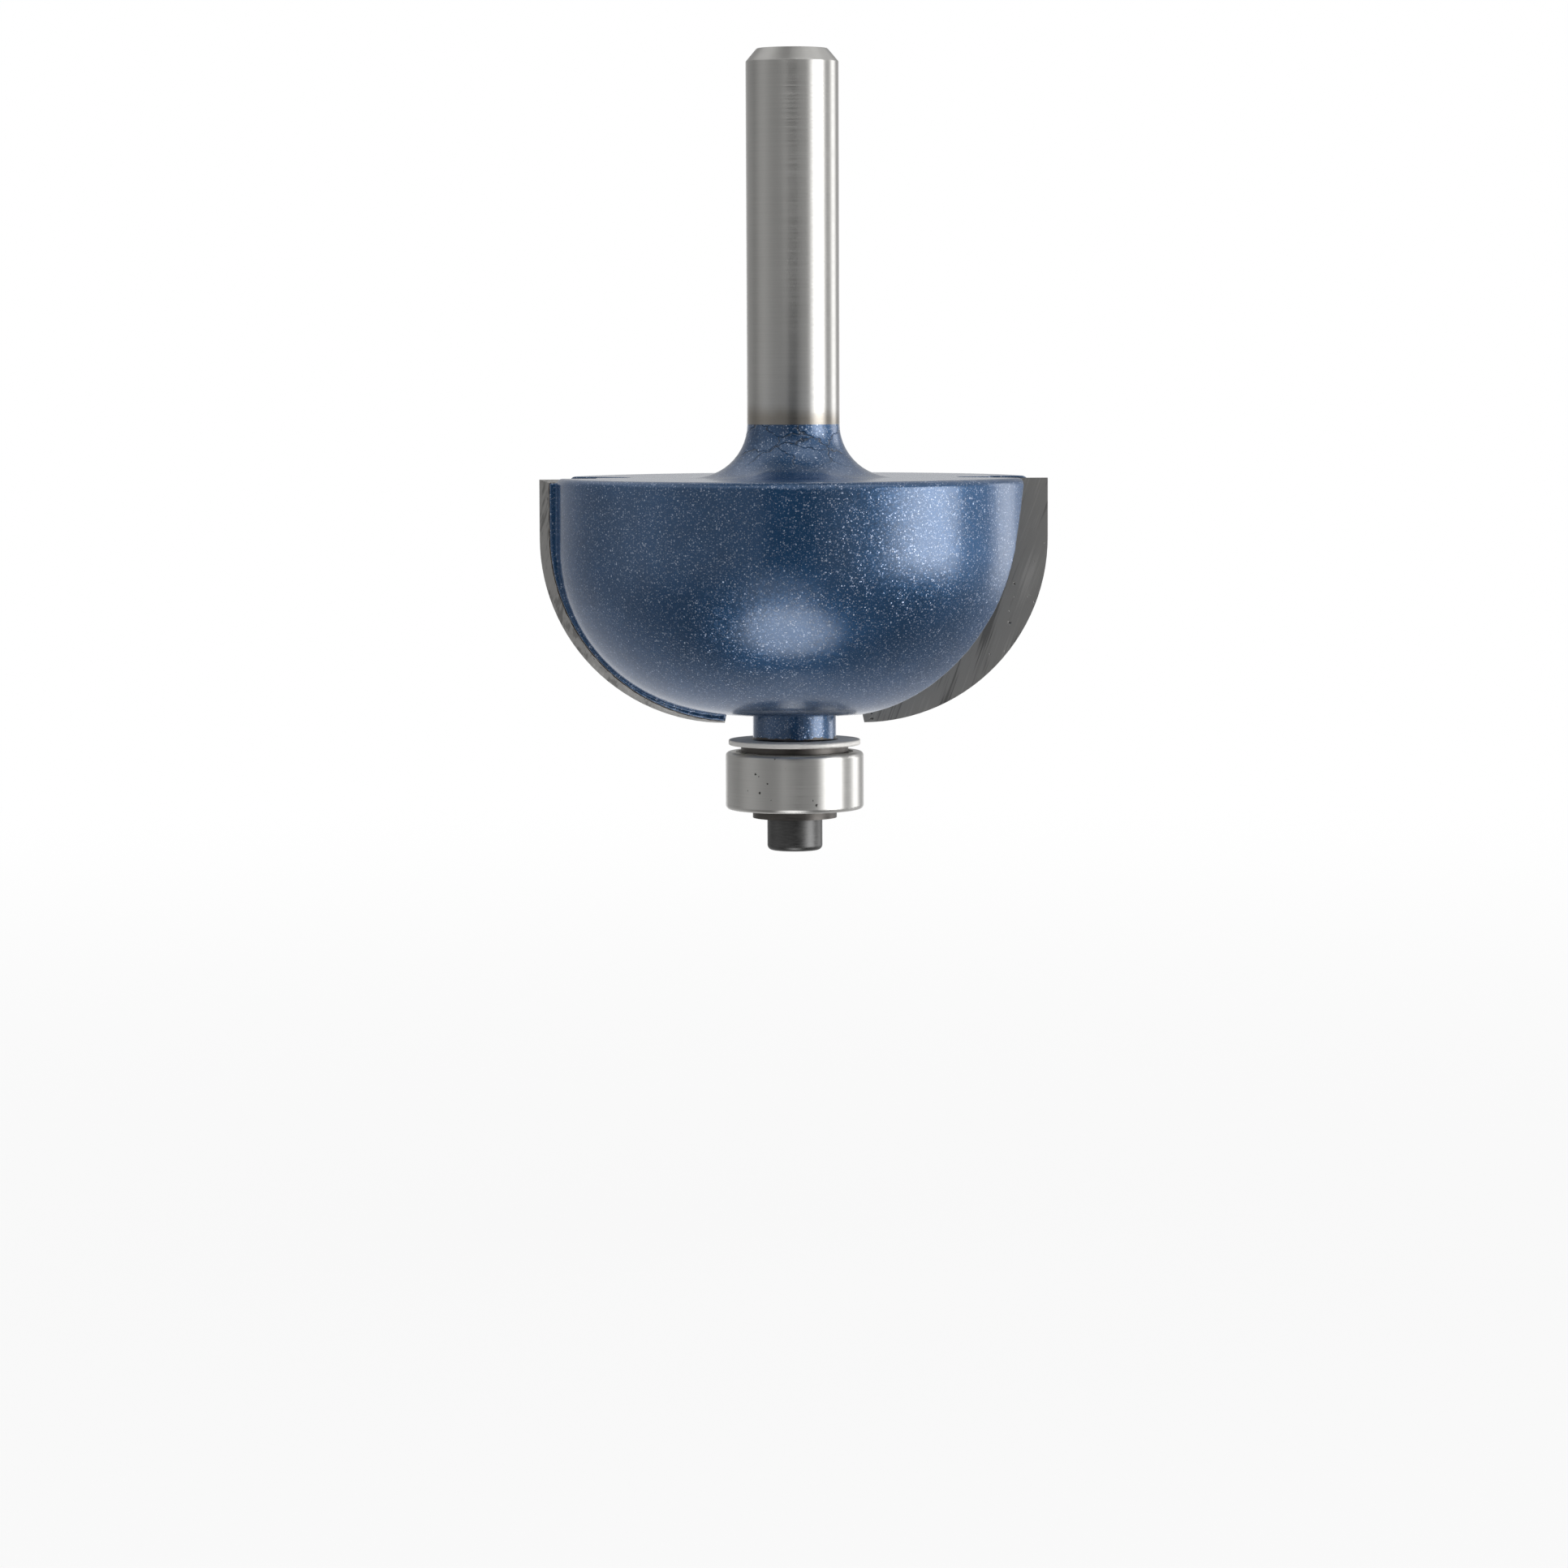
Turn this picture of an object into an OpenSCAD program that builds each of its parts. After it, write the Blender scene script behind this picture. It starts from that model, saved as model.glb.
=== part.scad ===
// Cove router bit with two carbide tips and a ball-bearing pilot.
// The bit's axis is Z and the shank points up. The origin is on the axis at the root of the shank,
// and the rake faces of both tips lie in the XZ plane. Millimetres.

/* [Shank] */
// Diameter of the shank
shank_d = 6.35; // [6:0.05:8]
// Length of the shank above the origin
shank_len = 25.4; // [20:0.2:40]
// Height of the chamfer on the shank's end
shank_chamfer_h = 0.9; // [0.3:0.1:1.5]
// Width of that chamfer, measured along the radius
shank_chamfer_w = 0.75; // [0.3:0.05:1.5]
// Length of straight shank left below the origin, down to the fillet
root_len = 0.15; // [0.1:0.05:1]
// Radius of the fillet between the shank and the head
root_fillet_r = 3.65; // [2:0.05:6]

/* [Head] */
// Gap from the cutting circle in to the bowl's side
bowl_side_gap = 1.06; // [0.8:0.02:1.6]
// Gap from the lowest cutting edge up to the bowl's underside
bowl_bottom_gap = 0.75; // [0.5:0.05:1.2]
// How much smaller the bowl's big rounding is than the cove
bowl_round_less = 1.2; // [0.8:0.1:3]
// Radius of the rounded edge around the head's top
rim_edge_r = 0.5; // [0.2:0.05:1]
// Depth of the steel pad behind each tip, from the rake face back
pad_depth = 2.8; // [2.6:0.1:4]
// Gap from the tip's back edge in to the pad's outer surface
pad_inset = 0.04; // [0.02:0.02:0.16]

/* [Cutting tips] */
// Radius of the cove that the bit cuts
cove_r = 12.7; // [11:0.1:14]
// Height of the cutting edges
cut_h = 16.8; // [15:0.1:20]
// Thickness of a tip
tip_t = 2; // [1.4:0.1:2.4]
// Width of a tip from its cutting edge in to its seat
tip_w = 3.9; // [3.4:0.1:4.6]
// Drop from the head's top to the top of the tips
tip_drop = 0.1; // [0:0.05:0.5]
// How far the flank falls away at the side over the tip's thickness
side_relief = 0.78; // [0.2:0.02:0.88]
// How far the flank rises at the bottom over the tip's thickness
bottom_relief = 0.25; // [0.1:0.05:0.5]
// How far the tip's top falls away over its thickness
top_relief = 0.2; // [0:0.05:0.4]
// Gap from the bearing's cylinder out to the inner end of the cutting edge
end_gap = 0.05; // [0.02:0.01:0.3]
// Slope of the tips' inner ends, as sideways run for each millimetre of rise
end_slope = 0.2; // [0:0.05:0.3]
// Gap from the gullet's floor out to the tip's seat
seat_margin = 0.15; // [0.05:0.05:0.5]

/* [Gullets] */
// Radial depth of the gullet's floor below the cutting circle, at the head's top
gullet_depth = 6.15; // [5.5:0.05:8]
// Width of the gullet's floor at the head's top
gullet_floor_w = 1.65; // [1:0.05:3]
// Tilt of the floor towards the axis, going down
gullet_tilt = 22.5; // [20:0.1:23]
// Angle at which the floor widens, going down
gullet_flare = 10.6; // [6:0.1:14]
// Angle of the front wall, outwards from the floor's normal
gullet_wall = 41.25; // [30:3.75:48.75]
// Radius between the floor and the front wall
gullet_r = 1.5; // [0.5:0.1:2.5]

/* [Neck and arbor] */
// Diameter of the neck under the bowl
neck_d = 5.74; // [5:0.02:7]
// Length of the neck under the bowl
neck_len = 1.88; // [1:0.02:4]
// Radius of the fillet between the neck and the bowl
neck_fillet_r = 0.16; // [0.05:0.01:0.3]
// Width and height of the flare at the neck's lower end
neck_flare = 0.16; // [0.05:0.01:0.3]
// Radial gap between the arbor and the rings on it
arbor_gap = 0.01; // [0.01:0.005:0.05]
// How far the arbor's end stays short of the lower face of the bearing
arbor_short = 0.15; // [0.05:0.05:0.5]

/* [Washers] */
// Diameter of the bright dust washer
dust_washer_d = 9.1; // [8.6:0.05:9.4]
// Thickness of the dust washer
dust_washer_t = 0.38; // [0.25:0.01:0.8]
// Radius of the dust washer's outer edges
dust_edge_r = 0.11; // [0.05:0.01:0.12]
// Diameter of the dark spacer between the dust washer and the bearing
spacer_d = 7.4; // [5:0.05:7.6]
// Thickness of the spacer
spacer_t = 0.46; // [0.3:0.01:1]
// Diameter of the washer under the bearing
lock_washer_d = 5.8; // [4.6:0.05:6]
// Thickness of the washer under the bearing
lock_washer_t = 0.6; // [0.4:0.01:1]
// Radial gap around what passes through the washers
washer_gap = 0.05; // [0.02:0.01:0.1]

/* [Ball bearing] */
// Outer diameter of the bearing
bearing_d = 9.525; // [9.4:0.005:9.8]
// Bore of the bearing
bearing_bore = 3.175; // [3:0.005:3.3]
// Width of the bearing
bearing_w = 3.967; // [3.6:0.001:4.6]
// Diameter of the balls
ball_d = 1.588; // [1.5:0.001:1.62]
// Radial gap between a ball and each raceway
ball_gap = 0.02; // [0.01:0.005:0.04]
// Gap between a ball and its pocket in the cage
pocket_gap = 0.05; // [0.03:0.01:0.1]
// Radius of the raceway grooves as a multiple of the ball's radius
race_fit = 1.05; // [1.02:0.01:1.1]
// Depth of the raceway grooves in the rings
race_depth = 0.22; // [0.1:0.01:0.26]
// Radius of the outer ring's outside edges
ring_edge_r = 0.3; // [0.1:0.05:0.5]
// Radius of the inner ring's edges
inner_edge_r = 0.12; // [0.05:0.01:0.2]
// Thickness of the land between the shield recess and the outer ring's outside
ring_land = 0.71; // [0.6:0.01:0.8]
// Depth of the shield recess in each face of the outer ring
recess_depth = 0.5; // [0.4:0.02:0.6]
// Thickness of a shield
shield_t = 0.2; // [0.1:0.01:0.25]
// Radial gap between a shield and the inner ring
shield_gap = 0.12; // [0.08:0.01:0.2]
// Height of a snap ring
snap_t = 0.18; // [0.1:0.01:0.22]
// Radial width of a snap ring
snap_w = 0.22; // [0.15:0.01:0.3]
// Gap between the ends of a snap ring
snap_gap = 0.8; // [0.4:0.1:2]
// Radial gap between the cage and each ring's shoulder
cage_gap = 0.22; // [0.15:0.01:0.3]
// Thickness of the cage's web beside the balls
cage_web = 0.3; // [0.2:0.01:0.4]
// Height of the cage's prongs above the balls' centres
prong_h = 0.4; // [0.3:0.01:0.5]

/* [Cap screw] */
// Outer diameter of the screw's thread
screw_d = 2; // [1.6:0.1:2.2]
// Length of the screw under its head
screw_len = 6; // [4:0.1:7]
// Radial gap between the thread and the tapped hole
thread_gap = 0.02; // [0.01:0.005:0.05]
// How much deeper the tapped hole is than the screw reaches
hole_spare = 0.8; // [0.4:0.1:2]
// Diameter of the screw's head
head_d = 3.8; // [3.4:0.05:4.2]
// Height of the screw's head
head_h = 2.25; // [1.8:0.05:3]
// Radius of the head's outer edge
head_edge_r = 0.35; // [0.1:0.05:0.5]
// Width of the hexagon socket across its flats
socket_af = 1.5; // [1.3:0.1:2]
// Depth of the hexagon socket
socket_depth = 1.1; // [0.8:0.1:1.5]

/* [Hidden] */
$fn = 96;
// Number of balls in the bearing
ball_count = 7;
// Overlap that makes a cut or a joint clean
over = 1;
// Sliver by which two pieces of one outline overlap
skin = 0.001;

// Radii from the axis
shank_r = shank_d / 2;
bearing_r = bearing_d / 2;
bore_r = bearing_bore / 2;
cut_r = bearing_r + cove_r;
rim_r = cut_r - bowl_side_gap;
bowl_round_r = cove_r - bowl_round_less;
neck_r = neck_d / 2;
arbor_r = bore_r - arbor_gap;
thread_r = screw_d / 2 - thread_gap;

// Heights along the axis, from the top down
head_top = -root_len - root_fillet_r;
tip_top = head_top - tip_drop;
cove_z = tip_top - (cut_h - cove_r);
cut_bottom = tip_top - cut_h;
bowl_bottom = cut_bottom + bowl_bottom_gap;
neck_bottom = bowl_bottom - neck_len;
dust_bottom = neck_bottom - dust_washer_t;
bearing_top = dust_bottom - spacer_t;
bearing_mid = bearing_top - bearing_w / 2;
bearing_bottom = bearing_top - bearing_w;
arbor_end = bearing_bottom + arbor_short;
lock_bottom = bearing_bottom - lock_washer_t;
head_bottom = lock_bottom - head_h;

// Bearing geometry, from the bearing's own middle
pitch_r = (bearing_r + bore_r) / 2;
ball_r = ball_d / 2;
race_r = ball_r * race_fit;
inner_race_r = pitch_r - ball_r - ball_gap;
outer_race_r = pitch_r + ball_r + ball_gap;
inner_shoulder_r = inner_race_r + race_depth;
outer_shoulder_r = outer_race_r - race_depth;
recess_r = bearing_r - ring_land;

// Seat of a tip, as seen on the rake face: distance from the cove's centre to the seat's flats
seat_r = cove_r - tip_w;
// Distance along a flat from the centre line to the corner of the seat's three flats
seat_corner = seat_r * (sqrt(2) - 1);
end_x = bearing_r + end_gap;
pad_top = tip_top - top_relief;

// Distance from the axis of the slanted end of a tip, at height z
function tip_end(z) = end_x - end_slope * (z - cut_bottom);

// Distance from the axis of the gullet's floor, at height z on the rake plane
function floor_x(z) = cut_r - gullet_depth - tan(gullet_tilt) * (head_top - z);

// What rounding by r takes off the outer corner at [x, z]: upper (side = 1) or lower (side = -1)
module corner_cut(x, z, r, side) {
    translate([x - r, z - side * r]) rotate(side > 0 ? 0 : -90)
        difference() {
            square(r + over);
            circle(r);
        }
}

// Outline of the bowl on one side of the axis
module bowl_outline() {
    round_x = rim_r - bowl_round_r;
    round_z = bowl_bottom + bowl_round_r;
    difference() {
        union() {
            translate([0, round_z]) square([rim_r, head_top - round_z]);
            translate([0, bowl_bottom]) square([round_x, round_z - bowl_bottom + skin]);
            intersection() {
                translate([round_x, round_z]) circle(bowl_round_r);
                translate([round_x - skin, bowl_bottom]) square([bowl_round_r + over, bowl_round_r + skin]);
            }
        }
        corner_cut(rim_r, head_top, rim_edge_r, 1);
    }
}

// Outline of the shank and its fillet on one side of the axis
module shank_outline() {
    polygon([[0, head_top], [shank_r, head_top], [shank_r, shank_len - shank_chamfer_h],
             [shank_r - shank_chamfer_w, shank_len], [0, shank_len]]);
    difference() {
        translate([0, head_top - skin]) square([shank_r + root_fillet_r, root_fillet_r + skin]);
        translate([shank_r + root_fillet_r, head_top + root_fillet_r]) circle(root_fillet_r);
    }
}

// Outline of the neck and the arbor below the bowl
module neck_outline() {
    translate([0, neck_bottom]) square([neck_r, neck_len + over]);
    difference() {
        translate([0, bowl_bottom - neck_fillet_r]) square([neck_r + neck_fillet_r, neck_fillet_r + over]);
        translate([neck_r + neck_fillet_r, bowl_bottom - neck_fillet_r]) circle(neck_fillet_r);
    }
    difference() {
        translate([0, neck_bottom]) square([neck_r + neck_flare, neck_flare]);
        translate([neck_r + neck_flare, neck_bottom + neck_flare]) circle(neck_flare);
    }
    translate([0, arbor_end]) square([arbor_r, neck_bottom - arbor_end + over]);
}

// Region of the rake plane that holds a tip and its pad
module tip_region() {
    low = cut_bottom - over;
    polygon([[tip_end(low), low], [tip_end(cove_z), cove_z], [tip_end(cove_z), pad_top],
             [cut_r + over, pad_top], [cut_r + over, low]]);
}

// Steel pad behind one tip, with the outline that the tip's back edge has
module pad() {
    translate([0, pad_depth, 0]) rotate([90, 0, 0]) linear_extrude(pad_depth - tip_t) intersection() {
        translate([-side_relief - pad_inset, bottom_relief + pad_inset]) cutting_profile();
        tip_region();
    }
}

// Space of one tip, outwards from its seat and up to the given top: the pocket that it is brazed into
module seat_space(top) {
    low = cut_bottom - over;
    translate([0, tip_t]) rotate([90, 0, 0]) linear_extrude(tip_t)
        polygon([[tip_end(low), low],
                 [tip_end(bowl_bottom), bowl_bottom],
                 [floor_x(cove_z - seat_r) + seat_margin, cove_z - seat_r],
                 [bearing_r + seat_corner, cove_z - seat_r],
                 [bearing_r + seat_r, cove_z - seat_corner],
                 [bearing_r + seat_r, top],
                 [cut_r + over, top],
                 [cut_r + over, low]]);
}

// Space milled out in front of one tip: its floor is tilted towards the axis and its front wall slants out
module gullet() {
    reach = 2 * cut_r;
    wall_x = reach * cos(gullet_wall);
    wall_y = -reach * sin(gullet_wall);
    // Distance from the corner to where the rounding meets the floor and the wall
    tangent = gullet_r * tan((90 - gullet_wall) / 2);
    intersection() {
        translate([cut_r - gullet_depth, -gullet_floor_w, head_top])
            rotate([-gullet_flare, gullet_tilt, 0])
                translate([0, 0, -reach]) linear_extrude(2 * reach) {
                    polygon([[0, tangent], [0, reach], [reach, reach], [wall_x, wall_y],
                             [tangent * cos(gullet_wall), -tangent * sin(gullet_wall)],
                             [gullet_r, tangent]]);
                    intersection() {
                        translate([gullet_r, tangent]) circle(gullet_r);
                        polygon([[0, tangent], [gullet_r, tangent],
                                 [tangent * cos(gullet_wall), -tangent * sin(gullet_wall)],
                                 [-gullet_r, -gullet_r]]);
                    }
                }
        translate([0, -reach, -reach]) cube([reach, reach, 2 * reach]);
    }
}

// Cutting profile seen on the rake face: the cove's quarter circle with the straight edge above it
module cutting_profile() {
    translate([bearing_r, cove_z]) circle(cove_r);
    translate([bearing_r, cove_z]) square([cove_r, cut_h]);
}

// Cutting profile carried back through the tip, moving in and up on the way: this relieves the flank
module relieved_profile() {
    multmatrix([[1, -side_relief / tip_t, 0, 0], [0, 1, 0, 0], [0, bottom_relief / tip_t, 1, 0]])
        translate([0, tip_t, 0]) rotate([90, 0, 0]) linear_extrude(tip_t) cutting_profile();
}

// Space above the tip's top, which slopes down towards the back
module above_tip() {
    translate([0, 0, tip_top]) rotate([-atan(top_relief / tip_t), 0, 0])
        translate([0, -over, 0]) cube([cut_r + over, tip_t + 2 * over, cut_h]);
}

// One tip at the +X side
module tip() {
    difference() {
        intersection() {
            relieved_profile();
            seat_space(tip_top + over);
        }
        above_tip();
    }
}

// Ring of square section with rounded outer corners, between radii r1 and r2 and heights z1 and z2
module ring_outline(r1, r2, z1, z2, edge) {
    difference() {
        translate([r1, z1]) square([r2 - r1, z2 - z1]);
        corner_cut(r2, z2, edge, 1);
        corner_cut(r2, z1, edge, -1);
    }
}

module bit_body() {
    color("#3b5678") difference() {
        union() {
            rotate_extrude() union() {
                shank_outline();
                bowl_outline();
                neck_outline();
            }
            for (turn = [0, 180]) rotate([0, 0, turn]) pad();
        }
        for (turn = [0, 180]) rotate([0, 0, turn]) {
            gullet();
            seat_space(head_top + over);
        }
        translate([0, 0, arbor_end - over])
            cylinder(r = screw_d / 2, h = over + screw_len + hole_spare - (lock_washer_t + arbor_short));
    }
}

module carbide_tip(turn) {
    color("#6e6e6e") rotate([0, 0, turn]) tip();
}

module dust_washer() {
    color("#c9c9c6") rotate_extrude()
        ring_outline(arbor_r + washer_gap, dust_washer_d / 2, dust_bottom, neck_bottom, dust_edge_r);
}

module spacer_ring() {
    color("#3a3a3a") rotate_extrude()
        translate([arbor_r + washer_gap, bearing_top])
            square([spacer_d / 2 - arbor_r - washer_gap, spacer_t]);
}

module outer_ring() {
    half = bearing_w / 2;
    color("#b9b9b7") translate([0, 0, bearing_mid]) rotate_extrude() difference() {
        ring_outline(outer_shoulder_r, bearing_r, -half, half, ring_edge_r);
        translate([outer_race_r - race_r, 0]) circle(race_r);
        translate([0, half - recess_depth]) square([recess_r, recess_depth + over]);
        translate([0, -half - over]) square([recess_r, recess_depth + over]);
    }
}

module inner_ring() {
    half = bearing_w / 2;
    color("#a8a8a6") translate([0, 0, bearing_mid]) rotate_extrude() difference() {
        ring_outline(bore_r, inner_shoulder_r, -half, half, inner_edge_r);
        translate([inner_race_r + race_r, 0]) circle(race_r);
    }
}

module ball_cage() {
    pocket_r = ball_r + pocket_gap;
    low = -pocket_r - cage_web;
    inner_r = inner_shoulder_r + cage_gap;
    outer_r = outer_shoulder_r - cage_gap;
    color("#b08a4a") translate([0, 0, bearing_mid]) difference() {
        rotate_extrude() translate([inner_r, low]) square([outer_r - inner_r, prong_h - low]);
        for (i = [1:ball_count]) rotate([0, 0, 360 * i / ball_count])
            translate([pitch_r, 0, 0]) sphere(pocket_r);
    }
}

module ball(i) {
    color("#d2d2d0") rotate([0, 0, 360 * i / ball_count])
        translate([pitch_r, 0, bearing_mid]) sphere(ball_r);
}

// Shield on the bearing's upper side (side = 1) or lower side (side = -1)
module shield(side) {
    color("#8c8c8a") translate([0, 0, bearing_mid + side * (bearing_w / 2 - recess_depth + shield_t / 2)])
        rotate_extrude() translate([inner_shoulder_r + shield_gap, -shield_t / 2])
            square([recess_r - arbor_gap - inner_shoulder_r - shield_gap, shield_t]);
}

// Split wire ring that holds a shield in its recess
module snap_ring(side) {
    floor_h = bearing_w / 2 - recess_depth + shield_t;
    color("#9c9c9a") translate([0, 0, bearing_mid + side * (floor_h + snap_t / 2)]) difference() {
        rotate_extrude() translate([recess_r - arbor_gap - snap_w, -snap_t / 2]) square([snap_w, snap_t]);
        translate([0, -snap_gap / 2, -over]) cube([recess_r + over, snap_gap, 2 * over]);
    }
}

module lock_washer() {
    bore = screw_d / 2 + washer_gap;
    color("#4c4a48") rotate_extrude()
        translate([bore, lock_bottom]) square([lock_washer_d / 2 - bore, lock_washer_t]);
}

module cap_screw() {
    color("#2f2f30") difference() {
        union() {
            rotate_extrude() difference() {
                translate([0, head_bottom]) square([head_d / 2, head_h]);
                corner_cut(head_d / 2, head_bottom, head_edge_r, -1);
            }
            translate([0, 0, head_bottom + over]) cylinder(r = thread_r, h = head_h - over + screw_len);
        }
        translate([0, 0, head_bottom - over])
            cylinder(r = socket_af / sqrt(3), h = socket_depth + over, $fn = 6);
    }
}

bit_body();
carbide_tip(0);  // carbide_tip_1
carbide_tip(180);  // carbide_tip_2
dust_washer();
spacer_ring();
outer_ring();
inner_ring();
ball_cage();
for (i = [1:ball_count])
    ball(i);
shield(1);  // upper_shield
shield(-1);  // lower_shield
snap_ring(1);  // upper_snap_ring
snap_ring(-1);  // lower_snap_ring
lock_washer();
cap_screw();
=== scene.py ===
"""Looks of a cove router bit: ground shank, painted head, carbide tips and ball-bearing pilot."""
import math
import bmesh
import bpy
import numpy as np
from bpy.props import FloatProperty, FloatVectorProperty, PointerProperty
from mathutils import Matrix, Vector
from mathutils.bvhtree import BVHTree


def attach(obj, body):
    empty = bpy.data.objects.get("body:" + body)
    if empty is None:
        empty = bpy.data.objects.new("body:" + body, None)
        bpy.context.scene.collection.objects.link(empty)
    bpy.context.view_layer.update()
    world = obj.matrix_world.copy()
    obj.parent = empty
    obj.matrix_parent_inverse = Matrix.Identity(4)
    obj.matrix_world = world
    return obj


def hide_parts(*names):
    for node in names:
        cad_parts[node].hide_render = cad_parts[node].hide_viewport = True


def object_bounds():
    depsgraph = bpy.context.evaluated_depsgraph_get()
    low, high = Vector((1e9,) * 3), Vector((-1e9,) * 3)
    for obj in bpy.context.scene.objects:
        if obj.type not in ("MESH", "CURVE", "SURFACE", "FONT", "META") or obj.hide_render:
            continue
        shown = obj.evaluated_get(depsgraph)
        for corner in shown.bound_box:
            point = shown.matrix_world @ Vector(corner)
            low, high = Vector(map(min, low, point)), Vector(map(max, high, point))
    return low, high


bl_info = {
    "name": "Cove router bit",
    "version": (1, 0, 0),
    "blender": (4, 5, 0),
    "location": "View3D > Sidebar > Router bit",
    "description": "Builds the looks of a cove router bit around its solids",
    "category": "Object",
}

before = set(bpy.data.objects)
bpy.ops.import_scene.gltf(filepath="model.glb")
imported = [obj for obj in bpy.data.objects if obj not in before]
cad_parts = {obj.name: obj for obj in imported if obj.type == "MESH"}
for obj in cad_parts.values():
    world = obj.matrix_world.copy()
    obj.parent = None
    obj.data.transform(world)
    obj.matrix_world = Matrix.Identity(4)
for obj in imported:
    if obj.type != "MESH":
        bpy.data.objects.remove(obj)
CAD_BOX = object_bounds()
MM = 0.001

# Sizes of the solids, in millimetres, that the surfaces below follow
SHANK_R = 3.175
SHANK_TOP = 25.4
BEARING_R = 4.7625
COVE_R = 12.7
COVE_Z = -8.0
TIP_T = 2.0
SIDE_RELIEF = 0.78
BOTTOM_RELIEF = 0.25
TIP_BACK_TOP = -4.1
TIP_FRONT_TOP = -3.91
SEAT_X = 13.5625
END_X = 4.8125
BOWL_ARC_R = 11.5
BOWL_ARC_X = 4.9025
BOWL_ARC_Z = -8.45
BOWL_LOW = -19.94
RIM_LOW = -4.32
NECK_BOTTOM = -21.83

# Cells that the numbering of zones allows along each axis
ZONE_SPAN = 8192

# The camera's place in millimetres, and its turns in degrees
CAMERA_AT = (-2.02, -350.71, 3.845)
CAMERA_YAW = 0.209
CAMERA_DIP = 4.693
CAMERA_ROLL = -0.2276


def linear(code):
    """Turns an sRGB hex colour, such as "1b3f6e", into linear red, green, blue and alpha."""
    c = [int(code[i:i + 2], 16) / 255 for i in (0, 2, 4)]
    return [x / 12.92 if x <= 0.04045 else ((x + 0.055) / 1.055) ** 2.4 for x in c] + [1.0]


def colour(name, description, code):
    """A colour property whose default is an sRGB hex colour."""
    return FloatVectorProperty(name=name, description=description, default=linear(code)[:3],
                               subtype="COLOR", size=3, min=0.0, max=1.0)


def length(name, description, millimetres):
    """A length property whose default is given in millimetres."""
    return FloatProperty(name=name, description=description, default=millimetres * MM,
                         subtype="DISTANCE", unit="LENGTH", precision=6, min=0.0)


def brightness(name, description, value):
    """A property without a unit: how bright a part of the studio is, where 1 is white."""
    return FloatProperty(name=name, description=description, default=value, min=0.0)


class BitLooks(bpy.types.PropertyGroup):
    """Colours and small sizes of the bit's finishes."""
    paint: colour("Paint", "Blue under the clear coat", "1e4d78")
    flake: colour("Flake", "Bright flakes in the paint", "c4d0e6")
    steel: colour("Ground steel", "Bare steel of the shank", "cac9c6")
    bare_steel: colour("Bare steel", "Steel that shows where the paint ends", "55524e")
    carbide: colour("Carbide", "Ground faces of the tips", "a9a8a6")
    braze: colour("Braze", "Line of braze and flux around the tips", "3a2a1c")
    bearing: colour("Bearing steel", "Rings of the bearing", "d6d5d2")
    # The dust washer's nearly white colour is partly painted sheen
    washer: colour("Washer steel", "Dust washer", "f6f4f0")
    dark_washer: colour("Dark washer", "Spacer and lower washer", "6a6764")
    oxide: colour("Black oxide", "Cap screw", "696969")
    brass: colour("Brass", "Cage of the bearing", "b98d45")
    flake_size: length("Flake size", "Spacing of the flakes", 0.13)
    paint_edge: length("Paint edge", "Softness of the painted edges", 0.11)
    paint_line: FloatProperty(name="Paint line", description="Height at which the paint ends on the shank",
                              default=-0.17 * MM, subtype="DISTANCE", unit="LENGTH", precision=6)
    bead: length("Braze bead", "Half width of the line of braze", 0.15)


class StageLooks(bpy.types.PropertyGroup):
    """Camera, floor and lights."""
    lens: FloatProperty(name="Lens", description="Focal length in millimetres on a 36 mm sensor",
                        default=117.05, unit="CAMERA")
    floor_drop: length("Floor drop", "How far the floor lies below the bit", 30.0)
    key: brightness("Key", "Brightness of the soft light on the right", 4.5)
    rim: brightness("Rim", "Brightness of the soft light behind on the right", 2.0)
    low: brightness("Low", "Brightness of the table in front", 2.8)
    top: FloatProperty(name="Top light", description="Power of the lamp above", default=0.15, unit="POWER")
    studio: brightness("Studio", "Brightness of the studio around the bit", 1.0)


# Meshes

def grid_mesh(name, points, around=False):
    """A mesh of the grid points[i, j] in metres. Row i joins row i + 1, and with around the last column joins
    the first. Its UV map is u along the columns and v along the rows."""
    rows, cols = points.shape[:2]
    spans = cols if around else cols - 1
    i, j = np.meshgrid(np.arange(rows - 1), np.arange(spans), indexing="ij")
    k = (j + 1) % cols
    quads = np.stack([i * cols + j, i * cols + k, (i + 1) * cols + k, (i + 1) * cols + j], -1)
    mesh = bpy.data.meshes.new(name)
    mesh.from_pydata(points.reshape(-1, 3).tolist(), [], quads.reshape(-1, 4).tolist())
    u = np.stack([j, j + 1, j + 1, j], -1).reshape(-1) / max(1, spans)
    v = np.stack([i, i, i + 1, i + 1], -1).reshape(-1) / (rows - 1)
    layer = mesh.uv_layers.new(name="surface")
    layer.data.foreach_set("uv", np.stack([u, v], -1).astype(np.float32).reshape(-1))
    smooth(mesh)
    return mesh


def smooth(mesh):
    """Shades all faces of a mesh smoothly."""
    mesh.polygons.foreach_set("use_smooth", np.ones(len(mesh.polygons), bool))
    mesh.update()


def orient(mesh, merge):
    """Turns all faces outwards. With merge, doubles become one point first, which closes poles and seams."""
    bm = bmesh.new()
    bm.from_mesh(mesh)
    if merge:
        bmesh.ops.remove_doubles(bm, verts=bm.verts, dist=1e-7)
        bmesh.ops.dissolve_degenerate(bm, edges=bm.edges, dist=1e-8)
    bmesh.ops.recalc_face_normals(bm, faces=bm.faces)
    bm.to_mesh(mesh)
    bm.free()
    mesh.update()


def piece(name, mesh, material, body, replaced=()):
    """Puts a mesh in the scene as a piece that rides on a body."""
    obj = bpy.data.objects.new(name, mesh)
    bpy.context.scene.collection.objects.link(obj)
    mesh.materials.clear()
    mesh.materials.append(material)
    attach(obj, body)
    if replaced:
        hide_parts(*replaced)


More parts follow.
